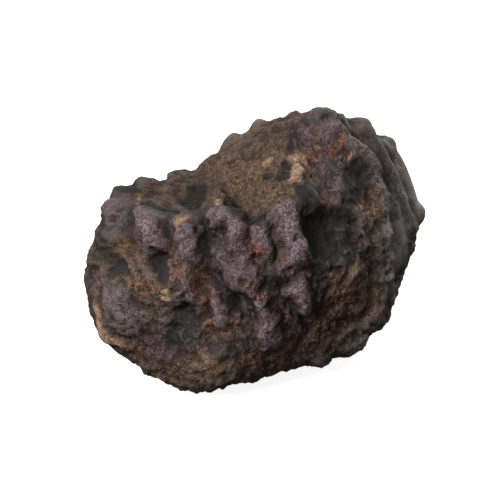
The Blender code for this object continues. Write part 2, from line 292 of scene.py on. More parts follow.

# Patches of surface and colour, some of them painted light and shade: how far each reaches in mm,
# how strong it is, and its point or its line of points on the layout.
SMOOTH = {
    "behind the crest": (
        3.6, 1.3, (15, 19), (18, 15.5), (21, 11), (22.5, 5), (22.3, 0), (20.5, -6)),
    "far lobe": (5.5, 1.3, (22, 15), (24.5, 10), (25.5, 5)),
    "far knobs": (3.6, 1.3, (-4, 16.5), (0, 19.5)),
    "left horn": (2.6, 0.9, (-18.7, 10.5)),
    "rim of the top": (2.2, 0.8, (-13.5, 11), (-10, 12)),
    "big dark hollow": (4.4, 0.9, (9.5, 2.5)),
    "front knob of the top": (2.6, 1.0, (7, 8)),
    "lower left edge": (2.5, 0.9, (-25.5, -5), (-25.3, -10), (-22.5, -15)),
}
OCHRE = {
    "right swell": (5.4, 1.4, (11, -4), (14, -7), (12, -10)),
    "under the right swell": (3.4, 1.0, (9, -13), (13, -13)),
    "beside the crest": (3.0, 0.9, (16, -6), (17, -9)),
    "brown dip on the right": (2.8, 1.3, (16.5, 6.5), (16, 8)),
    "foot": (4.0, 0.6, (-14, -19), (-8, -17.5), (-1, -17), (5, -16)),
    "far lobe": (5.0, 0.9, (23, 12), (25, 6)),
    "by the black pit": (3.0, 1.0, (-18.5, -4), (-14, -5.5)),
    "left end": (3.0, 0.9, (-23.5, -1), (-21, 0.5)),
    "beside the peak": (2.0, 1.0, (10.5, 8.5), (12, 6)),
    "over the pillars": (1.6, 0.9, (-13, 5.5), (-11, 4.5)),
    "left end, low": (2.6, 0.9, (-24, -6), (-23.5, -13)),
    "top": (3.0, 0.9, (-5, 12.5), (-1, 11), (2.5, 14)),
    "top, front": (2.4, 0.9, (-6.5, 8), (2, 7), (4, 9)),
}
VARNISHED = {
    "left pillar": (3.0, 0.9, (-21.5, 7), (-22, 4)),
    "second pillar": (2.2, 1.0, (-17.3, 6), (-15.7, 4.5), (-15.5, 1)),
    "third pillar": (2.8, 1.0, (-12, 4.5), (-10.5, 2), (-10, 0)),
    "bow": (1.8, 1.0, (-6, 4.7), (-4.5, 5.3), (-3, 3.5), (-2.5, 0)),
    "foot of the bow": (2.0, 0.7, (-5, -1.5), (-3, -2)),
    "fifth pillar": (2.0, 0.8, (0, 3.3), (1, 1)),
    "bright pillar": (2.4, 1.1, (4, 5), (5.3, 2.5), (6.5, -0.5)),
    "middle dome": (3.2, 0.5, (-2, -3.7)),
    "curved rib": (2.2, 1.0, (-1.5, -6.5), (0, -8.5), (1.5, -11), (2.5, -12.5)),
    "short rib": (2.0, 1.0, (6.2, -6), (7, -8)),
    "thin rib": (1.3, 0.8, (4, -8), (5.3, -10.5)),
    "low knob": (2.2, 0.8, (-12, -4), (-10.5, -5.5)),
    "between the grooves": (1.8, 0.8, (-6.2, -8), (-5.8, -11)),
    "left dome": (3.4, 0.9, (-21, -7.5), (-19, -10.5)),
    "beside the peak": (1.6, 0.8, (13, 11), (12.5, 8.5)),
    "peak": (3.2, 0.7, (6.5, 16.5), (9, 18.5), (11.5, 17.5)),
    "under the peak": (2.6, 1.0, (11.5, 13.5), (12.5, 10)),
    "lower left": (4.0, 0.6, (-14, -16)),
    "foot of the bright pillar": (2.4, 0.8, (3, -1.5), (6, -3)),
    "left of the bow": (1.8, 0.7, (-8.5, -1), (-5.5, -1)),
}
# Painted highlights: where a lilac sheen is laid into the colour of the pillars and ribs.
PAINTED_SHEEN = {
    "bright pillar": (2.4, 1.1, (3.8, 5.3), (5, 3), (6.3, 0)),
    "bow": (1.5, 0.9, (-6, 4.8), (-4, 4.8), (-3, 3)),
    "second pillar": (1.5, 0.9, (-17.3, 6), (-16, 4.2), (-15.6, 2)),
    "third pillar": (2.0, 0.8, (-11, 2.5), (-10, 1)),
    "left pillar": (1.8, 0.3, (-22, 7), (-22.5, 5)),
    "fifth pillar": (1.4, 0.7, (0, 3), (1, 1.5)),
    "left dome": (2.8, 0.8, (-21.5, -7.5), (-19, -10)),
    "low knob": (1.4, 0.7, (-10.5, -5.5)),
    "short rib": (1.7, 1.0, (6, -5.8), (7, -8)),
    "curved rib": (2.0, 1.1, (-1.2, -6.5), (0.2, -8.7)),
    "ridge beside the lower groove": (1.5, 0.8, (-5.8, -8.5), (-5.5, -11)),
    "middle dome": (1.8, 0.5, (-3.2, -1), (-1.5, -2)),
    "foot of the curved rib": (2.2, 1.1, (1.5, -11), (2.5, -12.5)),
    "under the peak": (1.5, 0.8, (12.3, 11), (12.8, 9)),
    "peak": (1.8, 0.35, (8, 18.3), (10.5, 18.3)),
}
# Black crust, and painted shade in the hollows, pits and grooves, between the pillars and under the
# lips.
BLACK_AND_SHADE = {
    "big dark hollow": (4.8, 1.9, (9.7, 3.3), (10.5, -0.3)),
    "big dark hollow, right": (3.6, 1.6, (13, 4), (13, 0.5)),
    "under the front knob": (2.4, 1.0, (7, 5.5)),
    "front knob of the top": (3.0, 1.5, (7.5, 8)),
    "right of the peak": (2.8, 1.4, (15.5, 12), (14.3, 8.5)),
    "black pit": (2.4, 1.5, (-16, -2)),
    "black pit's neighbour": (1.9, 1.3, (-14.3, -4)),
    "pit on the left": (2.6, 1.1, (-22.5, -2.5)),
    "dark lower hollow": (3.2, 1.2, (-11, -10.5), (-12.5, -13)),
    "slanting groove": (2.2, 1.4, (-6.5, -4.5), (-4, -7), (-1.5, -9.5)),
    "slit under the lip": (1.6, 1.3, (-17, 7.2), (-14, 6.2)),
    "right of the second pillar": (1.4, 0.9, (-13.8, 5.5), (-13.5, 2)),
    "under the lip of the top": (1.6, 1.2, (-2.5, 5.3), (0.3, 4.5)),
    "between the pillars": (1.9, 1.1, (-8, 4), (-7.5, 0)),
    "in the bow": (1.3, 0.8, (-5, 2.8)),
    "right of the fifth pillar": (1.5, 0.8, (2.5, 2), (2.8, -1.5)),
    "between the ribs": (1.2, 0.9, (5, -8), (6.7, -11)),
    "long hollow of the top": (3.2, 1.3, (-11, 8.3), (-9.5, 9.5)),
    "foot of the long hollow": (1.8, 1.1, (-11, 6.3), (-8, 5)),
    "rim of the middle hollow": (1.6, 1.2, (-4.3, 8), (-3.5, 6), (-1.5, 5)),
    "dark pit of the top": (1.1, 1.0, (1.4, 11.4)),
    "groove by the pale facet": (1.2, 1.0, (4.8, 13.5), (4.2, 11.5)),
    "left horn": (2.2, 1.0, (-19.5, 10)),
    "left of the peak": (1.8, 0.8, (5.2, 15.5), (5.5, 18)),
    "left end": (3.2, 0.8, (-22.5, 3.5), (-24, 0)),
    "right of the middle dome": (1.8, 0.9, (1.5, -4.5), (3.5, -5)),
    "right of the short rib": (2.4, 0.9, (9.3, -5), (9.5, -9)),
    "left shoulder": (3.0, 0.8, (-21.5, 9), (-17.5, 9)),
    "beside the left pillar": (2.0, 0.9, (-19.7, 6), (-19.7, 2)),
    "over the peak": (1.6, 0.8, (7, 19.5), (10, 19.8)),
    "lower middle": (2.6, 0.7, (-2, -13.5), (-6, -16)),
    "left side, low": (2.4, 0.8, (-17, -12.5)),
    "bottom": (2.4, 0.6, (-5, -19), (0, -17.5), (6, -17)),
}
RUSTY = {
    "left of the slanting groove": (1.6, 1.0, (-8, -4), (-7.5, -6.5)),
    "rim of the pocket": (0.9, 1.1, (-4.5, -8.7), (-3, -9.7), (-1.5, -9.3)),
    "lower groove": (1.5, 1.1, (-8.7, -7), (-8, -10), (-7, -13)),
    "between the second and third pillar": (1.2, 1.0, (-13.5, 5), (-12.7, 3), (-13.5, 0.5)),
    "over the third pillar": (1.0, 0.9, (-11.5, 4), (-10.5, 5.2)),
    "right of the bow": (1.2, 0.8, (-1.3, 2), (0.3, -0.5)),
    "beside the bright pillar": (1.2, 0.9, (2.7, 2), (3.7, -1.5)),
    "in the left pillar": (1.4, 0.8, (-22, 2), (-20.3, 0)),
    "near the peak": (2.0, 0.9, (9.5, 16.5), (9, 14.5)),
    "near the peak, low": (1.8, 0.9, (7.5, 14)),
    "under the peak": (1.4, 1.0, (11, 15), (12.5, 16.5)),
    "brown dip on the right": (2.2, 0.9, (16.5, 6.5)),
    "cracks by the dark hollow": (1.2, 0.9, (11.7, 7), (12.5, 3.5)),
    "by the black pit": (1.6, 0.8, (-14, -5.5), (-18, -5.5)),
    "foot, left": (2.4, 0.8, (-21, -15), (-19, -16)),
    "foot": (3.0, 0.6, (-8, -17), (-3, -18), (4, -16.5)),
    "lower front": (2.4, 0.7, (-6, -12.5), (-4, -13)),
    "left of the pillars": (2.0, 0.7, (-19, 3), (-18.3, -1)),
    "under the third pillar": (2.0, 0.8, (-11.5, -3), (-9, -5)),
    "under the middle dome": (1.8, 0.9, (-3, -6.5), (0, -6)),
    "right swell": (2.4, 0.7, (11, -3), (14.5, -3), (12, -8)),
    "right swell, low": (2.0, 0.7, (16.5, -9)),
}
CRUMBLY = {
    "top": (5.0, 1.2, (-15, 9), (-9, 9), (-3, 9)),
    "slope of the top": (6.0, 1.3, (-5, 12), (-1, 14), (2, 11)),
    "below the peak": (4.0, 1.1, (2, 9), (3.5, 17)),
    "far rim": (4.0, 1.0, (-8, 12.5), (-4, 16.5), (1, 19)),
}
# Grey of the crust, and a painted rim sheen along the crest, the band behind it and the right end.
GREY_AND_RIM_SHEEN = {
    "crest": (
        1.1, 1.5, (13, 18), (15, 15), (17.5, 12), (18.5, 9), (19, 4), (19, -4), (17.5, -9),
        (15.5, -14)),
    "band behind the crest": (2.0, 0.5, (16.5, 15.5), (20, 9), (20.5, 1), (20, -3)),
    "rib behind the crest": (0.8, 1.3, (16, 16.5), (19, 12.5), (20.3, 8)),
    "middle hollow of the top": (2.2, 0.6, (-2.5, 6.5)),
    "long hollow of the top": (1.8, 0.5, (-9, 6), (-12, 9)),
    "far knobs": (2.4, 0.6, (-4, 17), (0, 19.5)),
    "far lobe": (5.0, 0.55, (23, 14), (24.5, 8)),
    "lower right edge": (2.8, 0.8, (18, -10), (14, -14)),
    "right end": (2.6, 0.8, (21.5, 11), (22.8, 4), (22, -2), (20, -8)),
    "left dome": (4.4, 1.0, (-21.5, -8), (-20, -11)),
}
PALE = {
    "pale facet": (1.9, 1.2, (5.6, 11.3), (6.4, 12.8)),
    "pale spot of the top": (0.9, 0.9, (1.5, 13.3)),
    "pale grain": (1.0, 1.2, (-14, -6.8)),
    "white grain": (0.9, 1.4, (14.3, 14)),
    "bright edge": (0.9, 1.1, (-24.3, -9.3)),
    "lower left edge": (1.0, 1.1, (-24.3, -9), (-23.5, -12), (-21, -14.7)),
    "right of the big hollow": (1.2, 0.8, (11, -3)),
    "small swell on the right": (1.2, 0.8, (14.3, -3)),
    "thin crest of the top": (0.6, 1.0, (-5.8, 7.5), (-6.5, 5.5)),
    "over the third pillar": (0.7, 1.0, (-11.8, 4), (-10.8, 5)),
    "in the left pillar": (0.8, 0.8, (-18.3, 8.5), (-18.7, 7.3)),
    "brown dip on the right": (1.3, 0.9, (17, 6), (16, 6.8)),
    "foot": (0.9, 0.7, (-8, -16.7)),
}


def directions_of(points):
    """Each vector at length 1."""
    return points / np.linalg.norm(points, axis=-1, keepdims=True)


def blend_step(low, high, values):
    """0 up to low, 1 from high on, and t * t * (3 - 2 t) between them."""
    t = np.clip((values - low) / (high - low), 0, 1)
    return t * t * (3 - 2 * t)


def ball_grid(squares):
    """A closed grid on the ball: the six sides of a cube, each point at (1, tan a, tan b) with
    a and b from -45 to 45 degrees, pushed out to length 1. Shared edges are merged."""
    run = np.tan(np.linspace(-np.pi / 4, np.pi / 4, squares + 1))
    a, b = np.meshgrid(run, run, indexing="ij")
    one = np.ones_like(a)
    sides = ((one, a, b), (-one, -a, b), (-a, one, b), (a, -one, b), (-b, a, one), (b, a, -one))
    points = directions_of(np.concatenate([np.stack(side, -1).reshape(-1, 3) for side in sides]))
    corner = np.arange(squares * (squares + 1)).reshape(squares, squares + 1)[:, :-1].ravel()
    square = np.stack((corner, corner + squares + 1, corner + squares + 2, corner + 1), -1)
    faces = np.concatenate([square + side * (squares + 1) ** 2 for side in range(6)])
    _, first, place = np.unique(np.round(points, 6), axis=0, return_index=True, return_inverse=True)
    return points[first], place.ravel()[faces]


def turned(clock, turn):
    """The direction at a clock angle on the layout plane, turned from it to the front. Both are
    in degrees: cos(turn) (cos(clock) ACROSS + sin(clock) UP) + sin(turn) TOWARDS."""
    clock, turn = np.radians((clock, turn))
    around = np.cos(clock) * ACROSS + np.sin(clock) * UP
    return np.cos(turn) * around + np.sin(turn) * TOWARDS


def lump_radius(directions, faces):
    """From the centre to a lump's surface. The flat faces alone would give the least of
    distance / (direction . face); powers of EDGE_SHARPNESS round off the edges between them."""
    nearness = np.zeros(directions.shape[:-1])
    for clock, turn, distance in faces.values():
        nearness += np.maximum(directions @ turned(clock, turn) / distance, 0) ** EDGE_SHARPNESS
    return nearness ** (-1 / EDGE_SHARPNESS)


def body_radius(directions):
    """From the centre to the surface of the two lumps together, the greater of their radii
    with the same rounding."""
    radii = [lump_radius(directions, faces) ** EDGE_SHARPNESS for faces in (LOW_LUMP, HIGH_LUMP)]
    return sum(radii) ** (1 / EDGE_SHARPNESS)


def body(directions):
    """The places on the body in these directions, in mm."""
    return CENTRE + directions * body_radius(directions)[..., None]


def laid_out(points):
    """The places on the body that show at these points of the layout, in mm. Each sight line is
    followed from in front until it is inside the body; one that misses gives its closest place."""
    across, up = np.array(points, dtype=float).T
    depth = np.linspace(LAYOUT_REACH, -LAYOUT_REACH, LAYOUT_STEPS)[:, None]
    on_plane = across[:, None] * ACROSS + up[:, None] * UP
    line = on_plane[:, None] * (1 - depth / EYE) + depth * TOWARDS
    inside = body_radius(directions_of(line)) - np.linalg.norm(line, axis=-1)
    first = np.where((inside > 0).any(axis=1), (inside > 0).argmax(axis=1), inside.argmax(axis=1))
    return body(directions_of(line[np.arange(len(line)), first]))


def lattice(cell, seed):
    """A random whole number from 0 to 255 for each cell of a cubic lattice."""
    shuffled = np.random.default_rng(seed + 1).permutation(256)
    x, y, z = cell.T
    return shuffled[(shuffled[(shuffled[x & 255] + y) & 255] + z) & 255]


def noise(places, seed):
    """Smooth noise of about -0.7 to 0.7: random slopes at whole-number places, blended between."""
    slopes = directions_of(np.random.default_rng(seed).normal(size=(256, 3)))
    cell = np.floor(places).astype(int)
    inside = places - cell
    blend = inside ** 3 * (inside * (inside * 6 - 15) + 10)
    total = np.zeros(len(places))
    for corner in np.ndindex(2, 2, 2):
        slope = slopes[lattice(cell + corner, seed)]
        share = np.prod(np.where(corner, blend, 1 - blend), axis=1)
        total += share * np.sum(slope * (inside - corner), axis=1)
    return total


def layered(places, size, layers, seed, fade=0.5):
    """Noise of this size in mm, and again at half the size and at fade times the height, and
    so on. Each layer starts elsewhere, so that they don't line up."""
    elsewhere = 19.1
    return sum(
        fade ** k * noise(places / size * 2 ** k + elsewhere * k, seed + k)
        for k in range(layers))


def folds(places, size, layers, seed):
    """Crumples with sharp ridges: half of 1 - steepness |noise|, layered as above."""
    steepness = 2.4
    elsewhere = 7.7
    total = np.zeros(len(places))
    for k in range(layers):
        wave = noise(places / size * 2 ** k + elsewhere * k, seed + k)
        total += 0.5 ** k * (1 - steepness * np.abs(wave))
    return total / 2


def cells(places, size, seed):
    """The distance in mm to the nearest of the scattered centres, one in each cell of a cubic
    lattice of this size, and that centre's own number, 0 to 1."""
    scaled = places / size
    cell = np.floor(scaled).astype(int)
    offsets = np.random.default_rng(seed).random((256, 3))
    nearest = np.full(len(places), np.inf)
    owner = np.zeros(len(places))
    for step in np.ndindex(3, 3, 3):
        there = cell + step - 1
        number = lattice(there, seed)
        gap = np.linalg.norm(there + offsets[number] - scaled, axis=1)
        closer = gap < nearest
        nearest[closer] = gap[closer]
        owner[closer] = number[closer] / 255
    return nearest * size, owner


def bend(places):
    """The places moved a little, so that round and straight features turn out irregular."""
    moves = [noise(places / BEND_SIZE, NOISE_SEED + axis) for axis in range(3)]
    return places + BEND_AMOUNT * np.stack(moves, axis=-1)


def distance_to(route, places):
    """How far each place is from a route of straight runs, or from its only point."""
    nearest = np.full(len(places), np.inf)
    for start, end in zip(route, route[1:] if len(route) > 1 else route):
        run = end - start
        along = np.clip((places - start) @ run / max(run @ run, SHORTEST_RUN), 0, 1)
        gap = np.linalg.norm(places - start - along[:, None] * run, axis=1)
        nearest = np.minimum(nearest, gap)
    return nearest


def reach_of(row, route, places):
    """0 at the middle of a feature or patch, and 1 at its reach and beyond."""
    return np.minimum(distance_to(bend(route), places) / row[0], 1)


def relief(bent):
    """The height of all the features, in mm. With t the distance over the reach, it is
    rise (1 - t squared) squared, which is round on top, or for a groove rise (1 - t) to the
    power GROOVE_SHARPNESS, which is sharp at the bottom."""
    height = np.zeros(len(bent))
    features = [(row, laid_out(row[2:])) for row in FEATURES.values()]
    for row in BACK_FEATURES.values():
        route = body(np.array([turned(*angles) for angles in row[2:]]))
        features.append((row, route))
    for row, route in features:
        away = reach_of(row, route, bent)
        if row[1] < 0 and len(route) > 1:
            height += row[1] * (1 - away) ** GROOVE_SHARPNESS
        else:
            height += row[1] * (1 - away ** 2) ** 2
    return MOST_RELIEF * np.tanh(height / MOST_RELIEF)


def patches(table, bent):
    """The strongest patch at each place: strength (1 - t squared)."""
    strongest = np.zeros(len(bent))
    for row in table.values():
        away = reach_of(row, laid_out(row[2:]), bent)
        strongest = np.maximum(strongest, row[1] * (1 - away ** 2))
    return strongest


def normals_of(places, faces):
    """The surface's outward directions: around each point, the sum of the cross products of
    the faces' diagonals, at length 1."""
    corners = places[faces]
    face_normals = np.cross(corners[:, 2] - corners[:, 0], corners[:, 3] - corners[:, 1])
    total = np.zeros_like(places)
    for corner in range(4):
        for axis in range(3):
            total[:, axis] += np.bincount(faces[:, corner], face_normals[:, axis], len(places))
    return directions_of(total)


def smoothed(values, faces, rounds):
    """Each point's value replaced by the mean of its squares' values, this many times."""
    count = np.bincount(faces.ravel(), minlength=len(values)).astype(float)
    for _ in range(rounds):
        per_face = values[faces].mean(axis=1)
        total = np.zeros_like(values)
        for corner in range(4):
            if values.ndim == 1:
                total += np.bincount(faces[:, corner], per_face, len(values))
            else:
                for axis in range(3):
                    total[:, axis] += np.bincount(faces[:, corner], per_face[:, axis], len(values))
        values = total / (count if values.ndim == 1 else count[:, None])
    return values


def pits_and_rims(places):
    """Scattered round pits with raised rims, at full strength 1. With d the distance to a
    pit's centre and s its size, the pit is 1 - (d / s) squared and the rim is
    exp(-((d - RIM_PLACE s) / RIM_WIDTH) squared). Returns both, and where a pit may be."""
    wander = [noise(places / PIT_WANDER_SIZE, SEEDS["pit wander"] + k) for k in range(3)]
    gap, number = cells(places + PIT_WANDER * np.stack(wander, -1), PIT_SPACING, SEEDS["pits"])
    pit_size = PIT_SIZE + PIT_SPREAD * number
    pit = np.clip(1 - (gap / pit_size) ** 2, 0, 1)
    rim = np.exp(-((gap - RIM_PLACE * pit_size) / RIM_WIDTH) ** 2)
    return pit, rim, number > NO_PIT


def small_relief(places, crumbly, varnished, smooth):
    """The height of the crumples, lumps, pits and grain in mm, and the share of pit. Smooth
    places have little of all, and varnished ones fewer small crumples and lumps."""
    rugged = 1 - 0.85 * smooth
    rough_bits = rugged * (1 - 0.55 * varnished)
    crumples = folds(places, CRUMPLE_SIZE, 2, SEEDS["crumples"])
    small_crumples = folds(places, SMALL_CRUMPLE_SIZE, 3, SEEDS["small crumples"])
    lumps = layered(places, LUMP_SIZE, 4, SEEDS["lumps"], LUMP_FADE)
    height = CRUMPLE_HEIGHT * (crumples - 0.5) * rugged
    height += SMALL_CRUMPLE_HEIGHT * (small_crumples - 0.5) * rough_bits
    height += LUMP_HEIGHT * lumps * rough_bits
    pit, rim, possible = pits_and_rims(places)
    some = possible * (1 - 0.7 * crumbly) * rugged
    pit = pit * some
    rim = rim * some
    height += -PIT_DEPTH * pit + RIM_HEIGHT * rim
    grain = layered(places, GRAIN_SIZE, 2, SEEDS["grain"])
    height += GRAIN_HEIGHT * grain * (0.5 + 0.5 * crumbly) * rugged
    return height, pit


def stone_surface():
    """The whole stone in mm, and what each point is made of, as a dictionary of strengths; some
    of the shares are painted shade and light.
    """
    directions, faces = ball_grid(GRID)
    on_body = body(directions)
    bent = bend(on_body)
    places = on_body + directions * relief(bent)[:, None]
    normals = normals_of(places, faces)

    upward = smoothed(normals[:, 2], faces, UPWARD_ROUNDS)
    drift = layered(places, DRIFT_SIZE, 3, SEEDS["drift"])
    crumbly = blend_step(0.35, 0.75, patches(CRUMBLY, bent) + 0.5 * drift)
    crumbly = crumbly * blend_step(0.35, 0.6, upward)
    varnished = patches(VARNISHED, bent) + 0.5 * blend_step(-0.1, 0.35, drift)
    varnished = np.clip(varnished, 0, 1) * (1 - 0.8 * crumbly)
    smooth = np.clip(patches(SMOOTH, bent), 0, 1)

    height, pit = small_relief(places, crumbly, varnished, smooth)
    places = places + normals * height[:, None]
    around = smoothed(places, faces, HOLLOW_ROUNDS)
    hollow = np.sum((around - places) * normals_of(places, faces), axis=1)
    # Among these shares, the black one is partly painted shade, the sheen one a painted highlight
    # and the grey one partly a painted rim sheen.
    makeup = {
        "crumbly": crumbly,
        "varnished": varnished,
        "black_and_shade": patches(BLACK_AND_SHADE, bent),
        "rusty": np.clip(patches(RUSTY, bent) + 0.9 * pit, 0, 1),
        "pale": patches(PALE, bent),
        "grey_and_rim_sheen": patches(GREY_AND_RIM_SHEEN, bent),
        "ochre": patches(OCHRE, bent),
        "painted_sheen": patches(PAINTED_SHEEN, bent),
        "smooth": smooth,
        "hollow": np.clip(0.5 + hollow / HOLLOW_SPAN, 0, 1),
    }
    places[:, 2] = np.maximum(places[:, 2], 0)
    return places, faces, makeup


def make_stone():
    """The stone's object, centred where the solid is. Returns it and the shift in mm."""
    places, faces, makeup = stone_surface()
    low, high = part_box("meteorite")
    middle = (places.min(axis=0) + places.max(axis=0)) / 2
    shift = np.array([(low[k] + high[k]) / 2 / MILLIMETRE - middle[k] for k in range(2)] + [0.0])
    places = (places + shift) * MILLIMETRE
    mesh = bpy.data.meshes.new("stone")
    mesh.from_pydata(places, [], faces)
    mesh.update()
    mesh.shade_smooth()
    for name, values in makeup.items():
        attribute = mesh.attributes.new(name, "FLOAT", "POINT")
        attribute.data.foreach_set("value", values.astype(np.float32))
    stone = bpy.data.objects.new("stone", mesh)
    bpy.context.scene.collection.objects.link(stone)
    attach(stone, "root")
    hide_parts("meteorite")
    return stone, shift


class Finish:
    """A material being put together: short ways to add and join shader nodes."""

    def __init__(self, name):
        self.material = bpy.data.materials.new(name)
        self.material.use_nodes = True
        self.nodes = self.material.node_tree.nodes
        self.links = self.material.node_tree.links
        self.shader = self.nodes["Principled BSDF"]
        self.where = self.nodes.new("ShaderNodeTexCoord").outputs["Object"]

    def join(self, value, socket):
        """Links an output to the socket, or sets the socket to a plain value."""
        if isinstance(value, bpy.types.NodeSocket):
            self.links.new(value, socket)
        else:
            socket.default_value = value

    def share(self, name):
        """The mesh's own share of this name."""
        node = self.nodes.new("ShaderNodeAttribute")
        node.attribute_name = name
        return node.outputs["Fac"]

    def math(self, operation, first, second=0.0):
        """One sum on two numbers."""
        node = self.nodes.new("ShaderNodeMath")
        node.operation = operation
        self.join(first, node.inputs[0])
        self.join(second, node.inputs[1])
        return node.outputs["Value"]

    def grain(self, size_mm, detail=3.0, roughness=0.5, distortion=0.0):
        """Noise with features of about this size."""
        node = self.nodes.new("ShaderNodeTexNoise")
        self.links.new(self.where, node.inputs["Vector"])
        node.inputs["Scale"].default_value = 1 / (size_mm * MILLIMETRE)
        node.inputs["Detail"].default_value = detail
        node.inputs["Roughness"].default_value = roughness
        node.inputs["Distortion"].default_value = distortion
        return node.outputs["Fac"]

    def step(self, value, low, high):
        """0 up to low, 1 from high on, smooth between them."""
        node = self.nodes.new("ShaderNodeMapRange")
        node.interpolation_type = "SMOOTHSTEP"
        self.join(value, node.inputs["Value"])
        node.inputs["From Min"].default_value = low
        node.inputs["From Max"].default_value = high
        return node.outputs["Result"]

    def mix(self, share, first, second):
        """The first colour at 0, the second at 1."""
        node = self.nodes.new("ShaderNodeMix")
        node.data_type = "RGBA"
        self.join(share, node.inputs["Factor"])
        for name, value in (("A", first), ("B", second)):
            target = [s for s in node.inputs if s.name == name and s.type == "RGBA"][0]
            plain = not isinstance(value, bpy.types.NodeSocket)
            self.join((*value, 1.0) if plain else value, target)
        return [s for s in node.outputs if s.type == "RGBA"][0]


# The colours of the crust, as red, green and blue; a few serve painted light and shade, as noted.
DARK_BROWN = (0.030, 0.019, 0.012)
BROWN = (0.125, 0.072, 0.044)
GREENISH_BROWN = (0.042, 0.037, 0.029)
DARK_PURPLE = (0.022, 0.013, 0.016)
PURPLE = (0.118, 0.074, 0.092)
DARK_CRUST = (0.020, 0.015, 0.013)
LIGHTER_CRUST = (0.062, 0.041, 0.033)
# Colour of the painted lilac highlight on the sheen patches.
LILAC_HIGHLIGHT = (0.245, 0.172, 0.206)
# Grey of the crust and of the painted rim sheen.
RIM_SHEEN_GREY = (0.112, 0.102, 0.092)
DARK_RUST = (0.050, 0.014, 0.007)
RUST = (0.23, 0.080, 0.036)
DARK_OCHRE = (0.070, 0.042, 0.022)
LIGHT_OCHRE = (0.23, 0.130, 0.066)
DIRT = (0.20, 0.090, 0.040)
FLECK = (0.36, 0.200, 0.110)
CREAM = (0.38, 0.235, 0.15)
# Near black, for the black crust and for the painted shade of the hollows.
JET_AND_SHADE = (0.006, 0.005, 0.005)
DEEP_SHADE = (0.022, 0.013, 0.011)
# Colour of the painted highlight on the raised edges.
EDGE_HIGHLIGHT = (0.170, 0.138, 0.132)
SPECKLE = (0.012, 0.009, 0.008)

# The finish of the crust: how rough it is, how much glossier the varnish and how much duller
# the other parts are, and how deep its finest wrinkles and grain look, in mm.
CRUST_ROUGHNESS = 0.60
VARNISH_GLOSS = 0.30
CRUMBLY_DULLNESS = 0.25
BLACK_AND_SHADE_DULLNESS = 0.12
GRAIN_DULLNESS = 0.1
CRUST_IOR = 1.42
CRUST_SPECULAR = 0.36
WRINKLE_DEPTH = 0.45
GRAIN_DEPTH = 0.16


